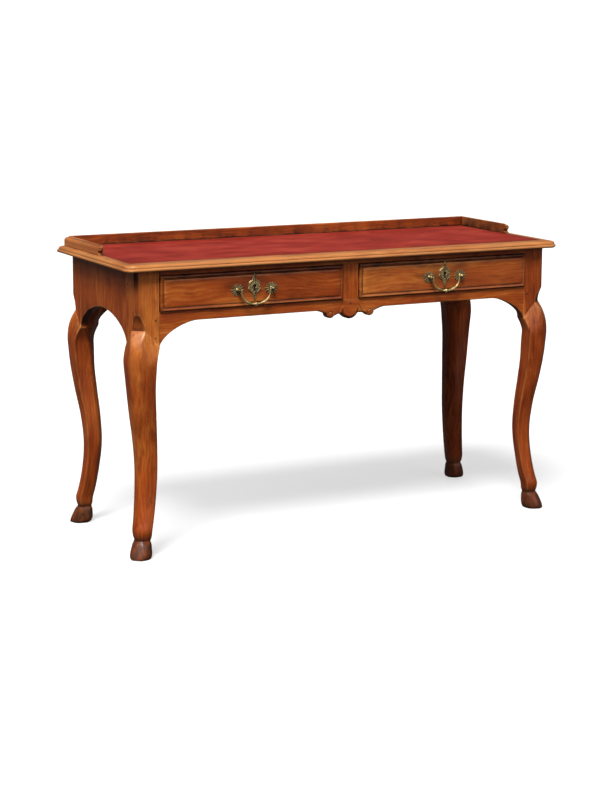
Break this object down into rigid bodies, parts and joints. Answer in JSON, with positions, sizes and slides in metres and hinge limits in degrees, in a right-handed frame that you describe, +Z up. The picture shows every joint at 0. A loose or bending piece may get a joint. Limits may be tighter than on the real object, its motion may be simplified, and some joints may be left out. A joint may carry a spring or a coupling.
{
  "type": "writing table",
  "caption": "Walnut writing table with a leather-lined framed top, a low gallery, frieze drawers with brass bail pulls, a scalloped front rail and cabriole legs on hoof feet.",
  "frame": {"origin": "on the floor, under the middle of the top", "axes": "+X along the front towards the sitter's right, +Y from the sitter to the back, +Z up"},
  "size_m": [1.2504, 0.4784, 0.7645],
  "materials": {
    "walnut": "waxed, red-brown",
    "oak": "dry, unfinished",
    "leather": "worn red hide",
    "brass": "tarnished",
    "iron": "dull"
  },
  "bodies": {
    "table": {"leg_front_left": "walnut", "leg_front_right": "walnut", "leg_back_left": "walnut", "leg_back_right": "walnut", "front_apron_rail": "walnut", "back_apron": "walnut", "side_apron_left": "walnut", "side_apron_right": "walnut", "top_rail": "walnut", "centre_stile": "walnut", "side_runner_left": "oak", "side_runner_right": "oak", "centre_runner": "oak", "side_guide_left": "oak", "side_guide_right": "oak", "centre_guide": "oak", "kicker_left": "oak", "kicker_right": "oak", "kicker_centre": "oak", "top_core": "oak", "top_border_front": "walnut", "top_border_left": "walnut", "top_border_right": "walnut", "top_border_back": "walnut", "leather_panel": "leather", "gallery_back": "walnut", "gallery_left": "walnut", "gallery_right": "walnut"},
    "drawer_left": {"left_drawer_front": "walnut", "left_drawer_side_left": "oak", "left_drawer_side_right": "oak", "left_drawer_back": "oak", "left_drawer_bottom": "oak", "left_lock_case": "iron", "left_escutcheon": "brass", "left_pull_rosette_left": "brass", "left_pull_rosette_right": "brass", "left_pull_post_left": "brass", "left_pull_post_right": "brass", "left_pull_nut_left": "iron", "left_pull_nut_right": "iron"},
    "drawer_right": {"right_drawer_front": "walnut", "right_drawer_side_left": "oak", "right_drawer_side_right": "oak", "right_drawer_back": "oak", "right_drawer_bottom": "oak", "right_lock_case": "iron", "right_escutcheon": "brass", "right_pull_rosette_left": "brass", "right_pull_rosette_right": "brass", "right_pull_post_left": "brass", "right_pull_post_right": "brass", "right_pull_nut_left": "iron", "right_pull_nut_right": "iron"},
    "bail_left": {"left_bail": "brass"},
    "bail_right": {"right_bail": "brass"},
    "lock_bolt_left": {"left_lock_bolt": "iron"},
    "lock_bolt_right": {"right_lock_bolt": "iron"}
  },
  "joints": [
    {"name": "drawer_left_slide", "type": "slide", "parent": "table", "child": "drawer_left", "axis": [0, -1, 0], "range_m": [0, 0.27]},
    {"name": "drawer_right_slide", "type": "slide", "parent": "table", "child": "drawer_right", "axis": [0, -1, 0], "range_m": [0, 0.27]},
    {"name": "bail_left_hinge", "type": "hinge", "parent": "drawer_left", "child": "bail_left", "pos_m": [-0.277, -0.234, 0.661], "axis": [-1, 0, 0], "range_deg": [0, 105]},
    {"name": "bail_right_hinge", "type": "hinge", "parent": "drawer_right", "child": "bail_right", "pos_m": [0.277, -0.234, 0.661], "axis": [-1, 0, 0], "range_deg": [0, 105]},
    {"name": "lock_bolt_left_slide", "type": "slide", "parent": "drawer_left", "child": "lock_bolt_left", "axis": [0, 0, 1], "range_m": [0, 0.0075]},
    {"name": "lock_bolt_right_slide", "type": "slide", "parent": "drawer_right", "child": "lock_bolt_right", "axis": [0, 0, 1], "range_m": [0, 0.0075]}
  ]
}
